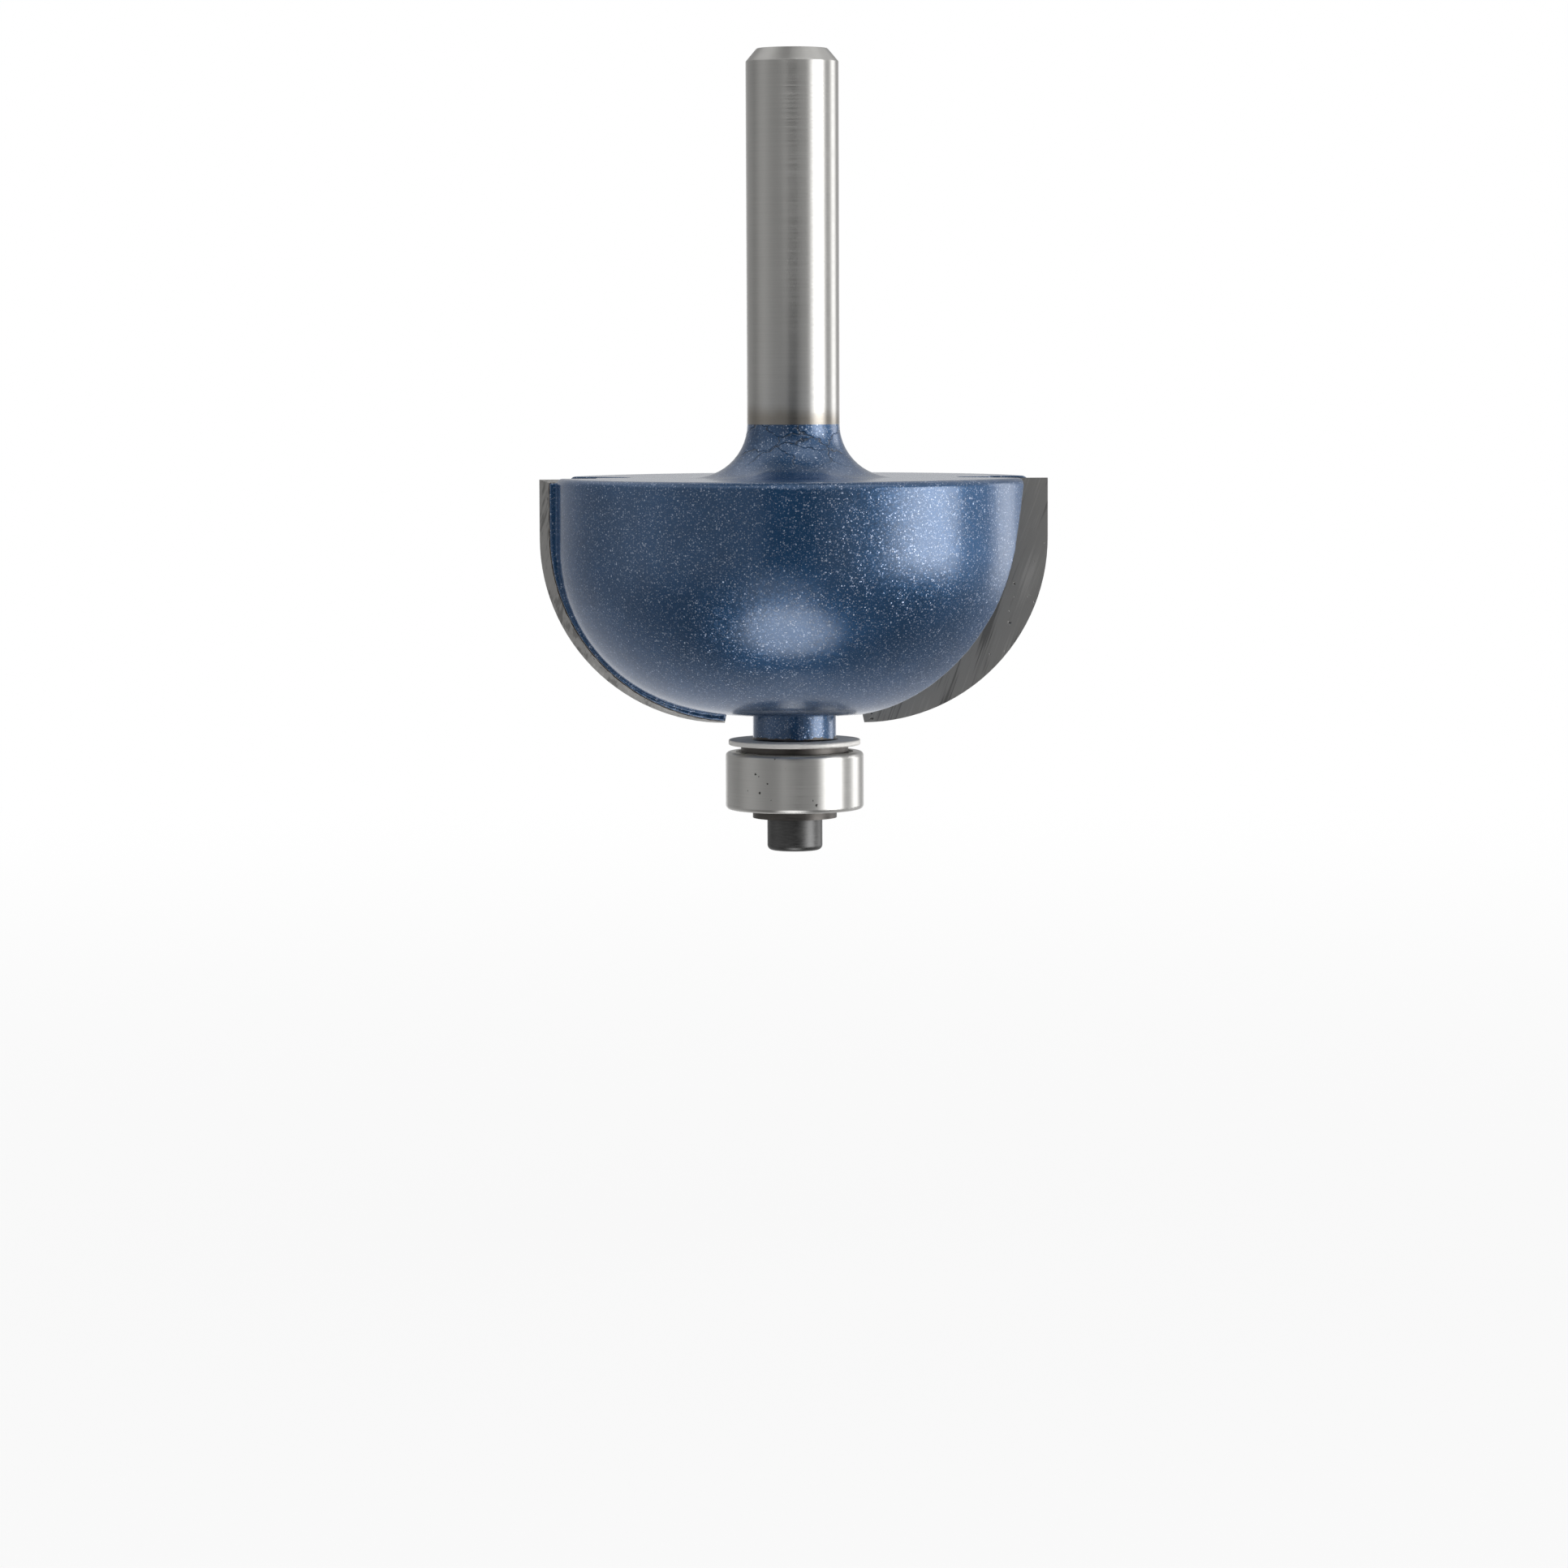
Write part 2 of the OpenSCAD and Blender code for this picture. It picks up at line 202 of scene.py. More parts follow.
def dress(name, material):
    """Gives a node of the frame its material."""
    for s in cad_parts[name].material_slots:
        s.material = material


def zone(points, size):
    """Numbers of the cubic cells, with sides of the given size, that hold the points."""
    k = np.floor(points / size).astype(np.int64) + ZONE_SPAN // 2
    return k[..., 0] + ZONE_SPAN * k[..., 1] + ZONE_SPAN ** 2 * k[..., 2]


def around_zone(points, size):
    """Numbers of the cells that hold the points, and of the 26 cells around each."""
    step = np.stack(np.meshgrid(*[[-1, 0, 1]] * 3, indexing="ij"), -1).reshape(-1, 1, 3) * size
    return np.unique(zone(points[None] + step, size))


def sides_of(tri):
    """The three sides of each triangle, as sorted pairs of point numbers."""
    return np.sort(np.stack([tri, np.roll(tri, -1, 1)], -1).reshape(-1, 2), 1)


def halve(co, tri, split_of):
    """Splits sides of triangles in the middle, and each triangle into two, three or four to fit. split_of
    says which of the sides (pairs of point numbers) are split."""
    pairs, which = np.unique(sides_of(tri), axis=0, return_inverse=True)
    split = split_of(co, pairs)
    middle = np.where(split, len(co) + np.cumsum(split) - 1, -1)[which.reshape(-1)].reshape(-1, 3)
    co = np.concatenate([co, co[pairs[split]].mean(1)])
    cut = middle >= 0
    count = cut.sum(1)
    # One cut side comes first, and one whole side comes last
    turn = np.where(count == 1, cut.argmax(1), np.where(count == 2, ((~cut).argmax(1) + 1) % 3, 0))
    order = (np.arange(3)[None] + turn[:, None]) % 3
    p = np.take_along_axis(tri, order, 1).T
    m = np.take_along_axis(middle, order, 1).T
    out = [tri[count == 0]]
    for n, parts in ((1, ((p[0], m[0], p[2]), (m[0], p[1], p[2]))),
                     (2, ((m[0], p[1], m[1]), (p[0], m[0], m[1]), (p[0], m[1], p[2]))),
                     (3, ((p[0], m[0], m[2]), (m[0], p[1], m[1]), (m[2], m[1], p[2]), (m[0], m[1], m[2])))):
        out += [np.stack(part, 1)[count == n] for part in parts]
    return co, np.concatenate(out)


def relax(co, tri, moved, passes):
    """Moves the chosen points, several times, halfway to the mean of their neighbours."""
    pairs = np.unique(sides_of(tri), axis=0)
    ends = np.concatenate([pairs, pairs[:, ::-1]])
    count = np.bincount(ends[:, 0], minlength=len(co))
    for _ in range(passes):
        total = [np.bincount(ends[:, 0], co[ends[:, 1], k], len(co)) for k in range(3)]
        mean = np.stack(total, 1) / count[:, None]
        co = np.where(moved[:, None], (co + mean) / 2, co)
    return co


def on_bowl(co, reach=0.013):
    """Puts points that lie within reach of the bowl exactly on it, which rounds its facets. The bowl is a
    cylinder above and, below, the turn of an arc about a centre beside the axis. All in millimetres."""
    r, z = np.hypot(co[:, 0], co[:, 1]), co[:, 2]
    low = z < BOWL_ARC_Z
    away = np.hypot(r - BOWL_ARC_X, z - BOWL_ARC_Z)
    gap = np.where(low, away - BOWL_ARC_R, r - BOWL_ARC_X - BOWL_ARC_R)
    out_r = np.where(low, (r - BOWL_ARC_X) / away, 1.0)
    out_z = np.where(low, (z - BOWL_ARC_Z) / away, 0.0)
    near = (np.abs(gap) < reach) & (z < RIM_LOW) & (z > BOWL_LOW) & (r > BOWL_ARC_X)
    grow = (r - gap * out_r) / r.clip(1e-9)
    moved = np.stack([co[:, 0] * grow, co[:, 1] * grow, z - gap * out_z], 1)
    return np.where(near[:, None], moved, co)


def points_and_triangles(bm, mesh):
    """Splits a bmesh into triangles, writes it to the mesh and frees it. Returns its points, in millimetres,
    and its triangles as arrays."""
    bmesh.ops.triangulate(bm, faces=bm.faces)
    bm.to_mesh(mesh)
    bm.free()
    co, tri = np.empty(len(mesh.vertices) * 3), np.empty(len(mesh.polygons) * 3, np.int32)
    mesh.vertices.foreach_get("co", co)
    mesh.polygons.foreach_get("vertices", tri)
    return co.reshape(-1, 3) / MM, tri.reshape(-1, 3).astype(np.int64)


def softened(source, name, top, bottom, spacing, seated, sharp=32, lattice=1.0, halvings=9, passes=7):
    """A copy of a node's mesh with soft edges, cut off at the height top. Near each sharp edge above the
    height bottom, triangles are halved until their sides are about as long as spacing, and then the points
    next to the edge move towards their neighbours, which rounds outer and inner edges alike. Edges that touch
    a seated node stay sharp. Sizes are in millimetres, and sharp is a sharp edge's least angle in degrees."""
    bm = bmesh.new()
    bm.from_mesh(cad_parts[source].data)
    bmesh.ops.remove_doubles(bm, verts=bm.verts, dist=1e-6)
    bmesh.ops.dissolve_limit(bm, angle_limit=math.radians(0.3), verts=bm.verts, edges=bm.edges)
    seats = [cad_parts[n].data for n in seated]
    trees = [BVHTree.FromPolygons([v.co for v in seat.vertices], [p.vertices for p in seat.polygons])
             for seat in seats]
    bmesh.ops.bisect_plane(bm, geom=bm.verts[:] + bm.edges[:] + bm.faces[:], dist=1e-8,
                           plane_co=(0, 0, top * MM), plane_no=(0, 0, 1), clear_outer=True)
    touching = 0.02 * MM
    edges = [[v.co[:] for v in e.verts] for e in bm.edges
             if len(e.link_faces) == 2 and e.calc_face_angle() > math.radians(sharp)
             and bottom * MM < min(v.co.z for v in e.verts)
             and min(t.find_nearest((e.verts[0].co + e.verts[1].co) / 2)[3] for t in trees) > touching]
    # A lattice of cuts keeps the triangles short, so that few of them meet in a point. A cut takes in points
    # that lie almost on it, so it leaves no slivers
    first, almost = 0.4 * MM, 0.12 * MM
    for axis in range(3):
        values = [v.co[axis] for v in bm.verts]
        for at in np.arange(min(values) + first, max(values), lattice * MM):
            place = [at if k == axis else 0 for k in range(3)]
            bmesh.ops.bisect_plane(bm, geom=bm.verts[:] + bm.edges[:] + bm.faces[:], dist=almost,
                                   plane_co=place, plane_no=[float(k == axis) for k in range(3)])
    mesh = bpy.data.meshes.new(name)
    co, tri = points_and_triangles(bm, mesh)
    ends = np.array(edges) / MM
    t = np.linspace(0, 1, 16)[:, None, None]
    line = (ends[:, 0] * (1 - t) + ends[:, 1] * t).reshape(-1, 3)
    wide = 1.4 * spacing
    fine_zone, soft_zone = around_zone(line, wide), around_zone(line, spacing)

    def split_of(points, pairs):
        near = np.isin(zone(points, wide), fine_zone)
        long = np.linalg.norm(points[pairs[:, 0]] - points[pairs[:, 1]], axis=1) > spacing
        return near[pairs].any(1) & long

    for _ in range(halvings):
        co, tri = halve(co, tri, split_of)
    co = relax(on_bowl(co), tri, np.isin(zone(co, spacing), soft_zone), passes)
    co = np.clip(co, np.array(CAD_BOX[0]) / MM, np.array(CAD_BOX[1]) / MM)
    mesh.clear_geometry()
    mesh.from_pydata((co * MM).tolist(), [], tri.tolist())
    smooth(mesh)
    mesh.set_sharp_from_angle(angle=math.radians(48))
    mesh.update()
    return mesh


def arc(cx, cz, r, start, end, count):
    """Points of an arc in a profile: centre (cx, cz), radius r, from one angle to another in degrees."""
    a = np.radians(np.linspace(start, end, count))
    return np.stack([cx + r * np.cos(a), cz + r * np.sin(a)], -1)


def revolve(name, profile, around=192):
    """Turns a profile of (radius, height) points, in millimetres, once around the axis:
    x = r cos a, y = r sin a, z = h. The UV map is the turn and the step along the profile."""
    a = np.linspace(0, 2 * np.pi, around, endpoint=False)
    r, h = profile[:, 0][:, None], profile[:, 1][:, None]
    points = np.stack([r * np.cos(a), r * np.sin(a), h + 0 * a], -1) * MM
    mesh = grid_mesh(name, points, around=True)
    orient(mesh, merge=True)
    return mesh


def wave(t, seed, rate, count=9):
    """A smooth irregular curve between about -1 and 1: a sum of sines with fixed random phases."""
    rng = np.random.default_rng(seed)
    f = rate * rng.uniform(0.6, 3.4, count)
    p = rng.uniform(0, 2 * np.pi, count)
    return np.sin(2 * np.pi * f[:, None] * t[None] + p[:, None]).sum(0) / math.sqrt(count)


# Materials

def node(tree, kind, inputs=None, links=None, stops=None, **settings):
    """Adds a node with its settings, its input values and links. A link is input: (node, output). The stops
    of a colour ramp are pairs of place and colour."""
    n = tree.nodes.new(kind)
    for k, v in settings.items():
        setattr(n, k, v)
    for k, v in (inputs or {}).items():
        n.inputs[k].default_value = v
    for k, (source, output) in (links or {}).items():
        tree.links.new(source.outputs[output], n.inputs[k])
    if stops:
        while len(n.color_ramp.elements) < len(stops):
            n.color_ramp.elements.new(0.5)
        for e, (place, c) in zip(n.color_ramp.elements, stops):
            e.position = place
            e.color = c
    return n


def blank(name):
    """A new material without nodes, and its tree."""
    m = bpy.data.materials.new(name)
    m.use_nodes = True
    m.node_tree.nodes.clear()
    return m, m.node_tree


def toned(base, factor=1.0):
    """A linear colour made darker or lighter by a factor, with alpha."""
    return [min(1.0, c * factor) for c in base[:3]] + [1.0]


def greys(pairs):
    """Stops of a ramp from pairs of place and grey value."""
    return [(place, [v, v, v, 1.0]) for place, v in pairs]


def scaled(tree, sizes_mm, turn=(0, 0, 0)):
    """A link to object coordinates, turned and then divided by a size along each axis, in millimetres."""
    at = node(tree, "ShaderNodeTexCoord")
    return node(tree, "ShaderNodeMapping", {"Scale": [s * MM for s in sizes_mm], "Rotation": turn},
                {"Vector": (at, "Object")}, vector_type="TEXTURE"), "Vector"


def ragged(tree, at, amount, scale, detail):
    """A link to coordinates pushed about by noise, amount times noise plus at, which makes the outlines of a
    pattern ragged."""
    push = node(tree, "ShaderNodeTexNoise", {"Scale": scale, "Detail": detail}, {"Vector": at})
    return node(tree, "ShaderNodeVectorMath", {1: (amount,) * 3}, {0: (push, "Color"), 2: at},
                operation="MULTIPLY_ADD"), "Vector"


def pits(tree, cell_mm, share):
    """A mask of small ragged pits. Space is cut into cells about cell_mm wide, and the given share of them
    hold a pit each, at most 0.42 of a cell in radius."""
    at = ragged(tree, scaled(tree, (cell_mm,) * 3), 0.7, 2.6, 2.0)
    cells = node(tree, "ShaderNodeTexVoronoi", {"Scale": 1.0}, {"Vector": at}, feature="F1")
    chance = node(tree, "ShaderNodeSeparateColor", links={"Color": (cells, "Color")})
    reach = node(tree, "ShaderNodeMapRange", {"From Min": 1.0 - share, "From Max": 1.0, "To Max": 0.42},
                 {"Value": (chance, "Red")})
    hole = node(tree, "ShaderNodeMath", links={0: (reach, "Result"), 1: (cells, "Distance")},
                operation="SUBTRACT")
    return node(tree, "ShaderNodeMapRange", {"From Max": 0.12}, {"Value": (hole, "Value")})


def ground_metal(name, base, dark, rough, line_mm, around_mm, depth_mm, anisotropy=0.0, streak=0.25,
                 blotch=0.12, pitted=0.0, heat=None, metallic=1.0):
    """Ground or turned metal. The wheel or the tool leaves fine lines around the axis, line_mm apart and
    around_mm long, and broad faint blotches change the tone from dark to base. The lines stretch the gleam
    along the axis, which anisotropy gives. Real lines are about 0.01 mm apart, too fine to show, so they are
    drawn several times coarser. pitted is the share of cells with a pit. heat gives the height up to which
    heat browned the metal, the height where that ends, and its colour."""
    m, t = blank(name)
    at = node(t, "ShaderNodeTexCoord")
    part = node(t, "ShaderNodeSeparateXYZ", links={"Vector": (at, "Object")})
    angle = node(t, "ShaderNodeMath", links={0: (part, "Y"), 1: (part, "X")}, operation="ARCTAN2")
    flat = node(t, "ShaderNodeVectorMath", {1: (1, 1, 0)}, {0: (at, "Object")}, operation="MULTIPLY")
    radius = node(t, "ShaderNodeVectorMath", links={0: (flat, "Vector")}, operation="LENGTH")
    # Lines around a part of about 3 mm radius, and the same lines across its flat faces
    along = node(t, "ShaderNodeMath", {1: 3 / around_mm}, {0: (angle, "Value")}, operation="MULTIPLY")
    up = node(t, "ShaderNodeMath", {1: 1 / (line_mm * MM)}, {0: (part, "Z")}, operation="MULTIPLY")
    out = node(t, "ShaderNodeMath", {1: 1 / (line_mm * MM)}, {0: (radius, "Value")}, operation="MULTIPLY")
    place = node(t, "ShaderNodeCombineXYZ",
                 links={"X": (along, "Value"), "Y": (up, "Value"), "Z": (out, "Value")})
    lines = node(t, "ShaderNodeTexNoise", {"Scale": 1.0, "Detail": 4.0, "Roughness": 0.65},
                 {"Vector": (place, "Vector")})
    cloud = node(t, "ShaderNodeTexNoise", {"Scale": 1.0, "Detail": 3.0},
                 {"Vector": scaled(t, (2.2, 2.2, 5.0))})
    both = node(t, "ShaderNodeMix", {"Factor": 0.35}, {"A": (lines, "Fac"), "B": (cloud, "Fac")},
                data_type="FLOAT")
    tone = node(t, "ShaderNodeValToRGB", links={"Fac": (both, "Result")},
                stops=[(0.5 - streak, dark), (0.5 + blotch, base)])
    surface = (tone, "Color")
    if heat:
        # The brown's edge wanders a little
        full, gone, brown = heat
        wander = node(t, "ShaderNodeMath", {1: 1.2 * MM}, {0: (cloud, "Fac"), 2: (part, "Z")},
                      operation="MULTIPLY_ADD")
        warm = node(t, "ShaderNodeMapRange", {"From Min": gone * MM, "From Max": full * MM},
                    {"Value": (wander, "Value")}, interpolation_type="SMOOTHSTEP")
        browned = node(t, "ShaderNodeMix", {"Factor": 1.0, "B": brown}, {"A": surface},
                       data_type="RGBA", blend_type="MULTIPLY")
        mixed = node(t, "ShaderNodeMix", data_type="RGBA",
                     links={"Factor": (warm, "Result"), "A": surface, "B": (browned, "Result")})
        surface = (mixed, "Result")
    if pitted:
        hole = pits(t, 0.26, pitted)
        mixed = node(t, "ShaderNodeMix", {"B": toned(base, 0.12)},
                     {"Factor": (hole, "Result"), "A": surface}, data_type="RGBA")
        surface = (mixed, "Result")
    grain = node(t, "ShaderNodeMapRange",
                 {"From Min": 0.3, "From Max": 0.7, "To Min": rough * 0.85, "To Max": rough * 1.2},
                 {"Value": (lines, "Fac")})
    bump = node(t, "ShaderNodeBump", {"Strength": 1.0, "Distance": depth_mm * MM}, {"Height": (lines, "Fac")})
    along_lines = node(t, "ShaderNodeTangent", direction_type="RADIAL", axis="Z")
    shader = node(t, "ShaderNodeBsdfPrincipled",
                  {"Metallic": metallic, "Anisotropic": anisotropy, "Anisotropic Rotation": 0.25},
                  {"Base Color": surface, "Roughness": (grain, "Result"), "Normal": (bump, "Normal"),
                   "Tangent": (along_lines, "Tangent")})
    node(t, "ShaderNodeOutputMaterial", links={"Surface": (shader, "BSDF")})
    return m


def paint_flakes(t, size_mm):
    """Two layers of flakes: the mask of how bright each flake is, and the cells that hold the smaller ones.
    Real flakes are about 0.05 mm wide. Their cells are drawn about twice as wide, so that they show."""
    layers = []
    for share, least, faint in ((1.0, 0.20, 0.12), (0.7, 0.17, 0.10)):
        at = ragged(t, scaled(t, (size_mm * share,) * 3), 0.9, 1.7, 1.0)
        cells = node(t, "ShaderNodeTexVoronoi", {"Scale": 1.0}, {"Vector": at}, feature="F1")
        pick = node(t, "ShaderNodeSeparateColor", links={"Color": (cells, "Color")})
        # A flake's radius is random, and cells whose radius comes out below zero stay empty
        radius = node(t, "ShaderNodeMath", {1: 0.75, 2: -least}, {0: (pick, "Red")}, operation="MULTIPLY_ADD")
        inside = node(t, "ShaderNodeMath", links={0: (radius, "Value"), 1: (cells, "Distance")},
                      operation="SUBTRACT")
        disc = node(t, "ShaderNodeMapRange", {"From Min": -0.1, "From Max": 0.3},
                    {"Value": (inside, "Value")}, interpolation_type="SMOOTHSTEP")
        rare = node(t, "ShaderNodeMath", {1: 2.5}, {0: (pick, "Blue")}, operation="POWER")
        strong = node(t, "ShaderNodeMapRange", {"To Min": faint}, {"Value": (rare, "Value")})
        layers.append(node(t, "ShaderNodeMath", links={0: (disc, "Result"), 1: (strong, "Result")},
                           operation="MULTIPLY"))
    flake = node(t, "ShaderNodeMath", links={0: (layers[0], "Value"), 1: (layers[1], "Value")},
                 operation="MAXIMUM")
    return flake, cells


def paint_creases_and_shade(t, part):
    """A mask of the creases near the shank, where the coat dried thick and wrinkled: the warped borders of
    large cells, only above a height where they fade out. It shapes the folds and also darkens their colour,
    which is painted shade."""
    at = ragged(t, scaled(t, (3.4, 3.4, 1.9)), 0.9, 1.6, 3.0)
    border = node(t, "ShaderNodeTexVoronoi", {"Scale": 1.0}, {"Vector": at}, feature="DISTANCE_TO_EDGE")
    crease_and_shade = node(t, "ShaderNodeMapRange", {"From Min": 0.035, "From Max": 0.0},
                  {"Value": (border, "Distance")}, interpolation_type="SMOOTHSTEP")
    rise = node(t, "ShaderNodeMapRange", {"From Min": -3.4 * MM, "From Max": -2.2 * MM},
                {"Value": (part, "Z")}, interpolation_type="SMOOTHSTEP")
    return node(t, "ShaderNodeMath", links={0: (crease_and_shade, "Result"), 1: (rise, "Result")},
                operation="MULTIPLY")


def paint_material(looks):
    """Metallic flake paint, sprayed and clear coated: deep blue with fine bright flakes under a glossy skin
    that is slightly uneven, and wrinkled next to the shank, with painted shade darkening the creases. At the
    foot of the neck the coat ends ragged and shows bare steel."""
    m, t = blank("sprayed flake paint")
    flake, cells = paint_flakes(t, looks.flake_size / MM)
    cloud = node(t, "ShaderNodeTexNoise", {"Scale": 1.0, "Detail": 3.0},
                 {"Vector": scaled(t, (3.0, 3.0, 3.0))})
    base = node(t, "ShaderNodeValToRGB", links={"Fac": (cloud, "Fac")},
                stops=[(0.3, toned(looks.paint, 0.8)), (0.7, toned(looks.paint))])
    shade = node(t, "ShaderNodeMix", {"B": toned(looks.flake)},
                 {"Factor": (flake, "Value"), "A": (base, "Color")}, data_type="RGBA")
    shine = node(t, "ShaderNodeMapRange", {"To Min": 0.66, "To Max": 0.8}, {"Value": (flake, "Value")})
    # Each flake lies at its own slight angle, so the light catches some of them
    geometry = node(t, "ShaderNodeNewGeometry")
    lean = node(t, "ShaderNodeVectorMath", {1: (0.5, 0.5, 0.5)}, {0: (cells, "Color")}, operation="SUBTRACT")
    tilt = node(t, "ShaderNodeMapRange", {"To Min": 0.14, "To Max": 0.5}, {"Value": (flake, "Value")})
    lean = node(t, "ShaderNodeVectorMath", links={0: (lean, "Vector"), "Scale": (tilt, "Result")},
                operation="SCALE")
    lean = node(t, "ShaderNodeVectorMath", links={0: (geometry, "Normal"), 1: (lean, "Vector")},
                operation="ADD")
    lean = node(t, "ShaderNodeVectorMath", links={0: (lean, "Vector")}, operation="NORMALIZE")
    # The skin of the coat: a faint orange peel everywhere, and the creases
    skin = node(t, "ShaderNodeTexNoise", {"Scale": 1.0, "Detail": 2.0},
                {"Vector": scaled(t, (1.4, 1.4, 1.4))})
    peel = node(t, "ShaderNodeBump", {"Strength": 1.0, "Distance": 0.01 * MM}, {"Height": (skin, "Fac")})
    here = node(t, "ShaderNodeTexCoord")
    part = node(t, "ShaderNodeSeparateXYZ", links={"Vector": (here, "Object")})
    crease_and_shade = paint_creases_and_shade(t, part)
    fold = node(t, "ShaderNodeMath", {1: -1.0}, {0: (crease_and_shade, "Value")}, operation="MULTIPLY")
    peel = node(t, "ShaderNodeBump", {"Strength": 1.0, "Distance": 0.05 * MM},
                {"Height": (fold, "Value"), "Normal": (peel, "Normal")})
    # Painted shade: the creases' colour is darkened nearly to black, standing in for shade lying in the folds
    shade = node(t, "ShaderNodeMix", {"B": toned(looks.paint, 0.25)},
                 {"Factor": (crease_and_shade, "Value"), "A": (shade, "Result")}, data_type="RGBA")
    # The bluish edge tint keeps the flanks of the bowl blue, where the real pigment scatters light
    paint = node(t, "ShaderNodeBsdfPrincipled",
                 {"Roughness": 0.39, "Specular Tint": linear("a9c4ee"), "Coat Weight": 1.0,
                  "Coat Roughness": 0.16, "Coat IOR": 1.6},
                 {"Base Color": (shade, "Result"), "Metallic": (shine, "Result"), "Normal": (lean, "Vector"),
                  "Coat Normal": (peel, "Normal")})
    steel = node(t, "ShaderNodeBsdfPrincipled",
                 {"Metallic": 1.0, "Roughness": 0.4, "Base Color": toned(looks.bare_steel)})
    # The paint's ragged lower edge, just above the foot of the neck
    rag = node(t, "ShaderNodeTexNoise", {"Scale": 1.0, "Detail": 5.0, "Roughness": 0.6},
               {"Vector": scaled(t, (0.9, 0.9, 0.9))})
    level = node(t, "ShaderNodeMath", {1: 0.7 * MM, 2: -22.0 * MM}, {0: (rag, "Fac")},
                 operation="MULTIPLY_ADD")
    below = node(t, "ShaderNodeMath", links={0: (part, "Z"), 1: (level, "Value")}, operation="LESS_THAN")
    mix = node(t, "ShaderNodeMixShader",
               links={0: (below, "Value"), 1: (paint, "BSDF"), 2: (steel, "BSDF")})
    node(t, "ShaderNodeOutputMaterial", links={"Surface": (mix, "Shader")})
    return m


def carbide_material(looks):
    """Sintered tungsten carbide, diamond ground: dark grey metal with slanted grinding streaks on the rake
    faces and a few small dark pits. Real scratches are finer: the streaks stand for bands of them."""
    m, t = blank("ground tungsten carbide")
    # The wheel's scratches cross the rake face at about 20 degrees from upright
    slant = (0, math.radians(20), 0)
    streaks = node(t, "ShaderNodeTexNoise", {"Scale": 1.0, "Detail": 3.0, "Roughness": 0.55},
                   {"Vector": scaled(t, (0.16, 1.0, 7.0), slant)})
    wide = node(t, "ShaderNodeTexNoise", {"Scale": 1.0, "Detail": 2.0},
                {"Vector": scaled(t, (1.3, 2.0, 7.0), slant)})
    both = node(t, "ShaderNodeMix", {"Factor": 0.6}, {"A": (streaks, "Fac"), "B": (wide, "Fac")},
                data_type="FLOAT")
    dark, base, light = (toned(looks.carbide, factor) for factor in (0.55, 1.0, 1.35))
    tone = node(t, "ShaderNodeValToRGB", links={"Fac": (both, "Result")},
                stops=[(0.40, dark), (0.47, base), (0.55, base), (0.66, light)])
    # Grains that broke out of the ground face leave small dark pits
    hole = pits(t, 0.34, 0.05)
    surface = node(t, "ShaderNodeMix", {"B": toned(looks.carbide, 0.25)},
                   {"Factor": (hole, "Result"), "A": (tone, "Color")}, data_type="RGBA")
    level = node(t, "ShaderNodeMath", {1: -6.0}, {0: (hole, "Result"), 2: (streaks, "Fac")},
                 operation="MULTIPLY_ADD")
    bump = node(t, "ShaderNodeBump", {"Strength": 1.0, "Distance": 0.004 * MM}, {"Height": (level, "Value")})
    shader = node(t, "ShaderNodeBsdfPrincipled", {"Metallic": 1.0, "Roughness": 0.48},
                  {"Base Color": (surface, "Result"), "Normal": (bump, "Normal")})
    node(t, "ShaderNodeOutputMaterial", links={"Surface": (shader, "BSDF")})
    return m


def braze_material(looks):
    """Silver braze with burnt flux: brown-black crust with a few paler metal spots."""
    m, t = blank("burnt braze")
    spots = node(t, "ShaderNodeTexNoise", {"Scale": 1.0, "Detail": 5.0, "Roughness": 0.7},
                 {"Vector": scaled(t, (0.25, 0.25, 0.25))})
    tone = node(t, "ShaderNodeValToRGB", links={"Fac": (spots, "Fac")},
                stops=[(0.35, toned(looks.braze, 0.3)), (0.55, toned(looks.braze)), (0.75, linear("8d8069"))])
    bump = node(t, "ShaderNodeBump", {"Strength": 1.0, "Distance": 0.03 * MM}, {"Height": (spots, "Fac")})
    shader = node(t, "ShaderNodeBsdfPrincipled", {"Metallic": 0.4, "Roughness": 0.55},
                  {"Base Color": (tone, "Color"), "Normal": (bump, "Normal")})
    node(t, "ShaderNodeOutputMaterial", links={"Surface": (shader, "BSDF")})
    return m


# Operators

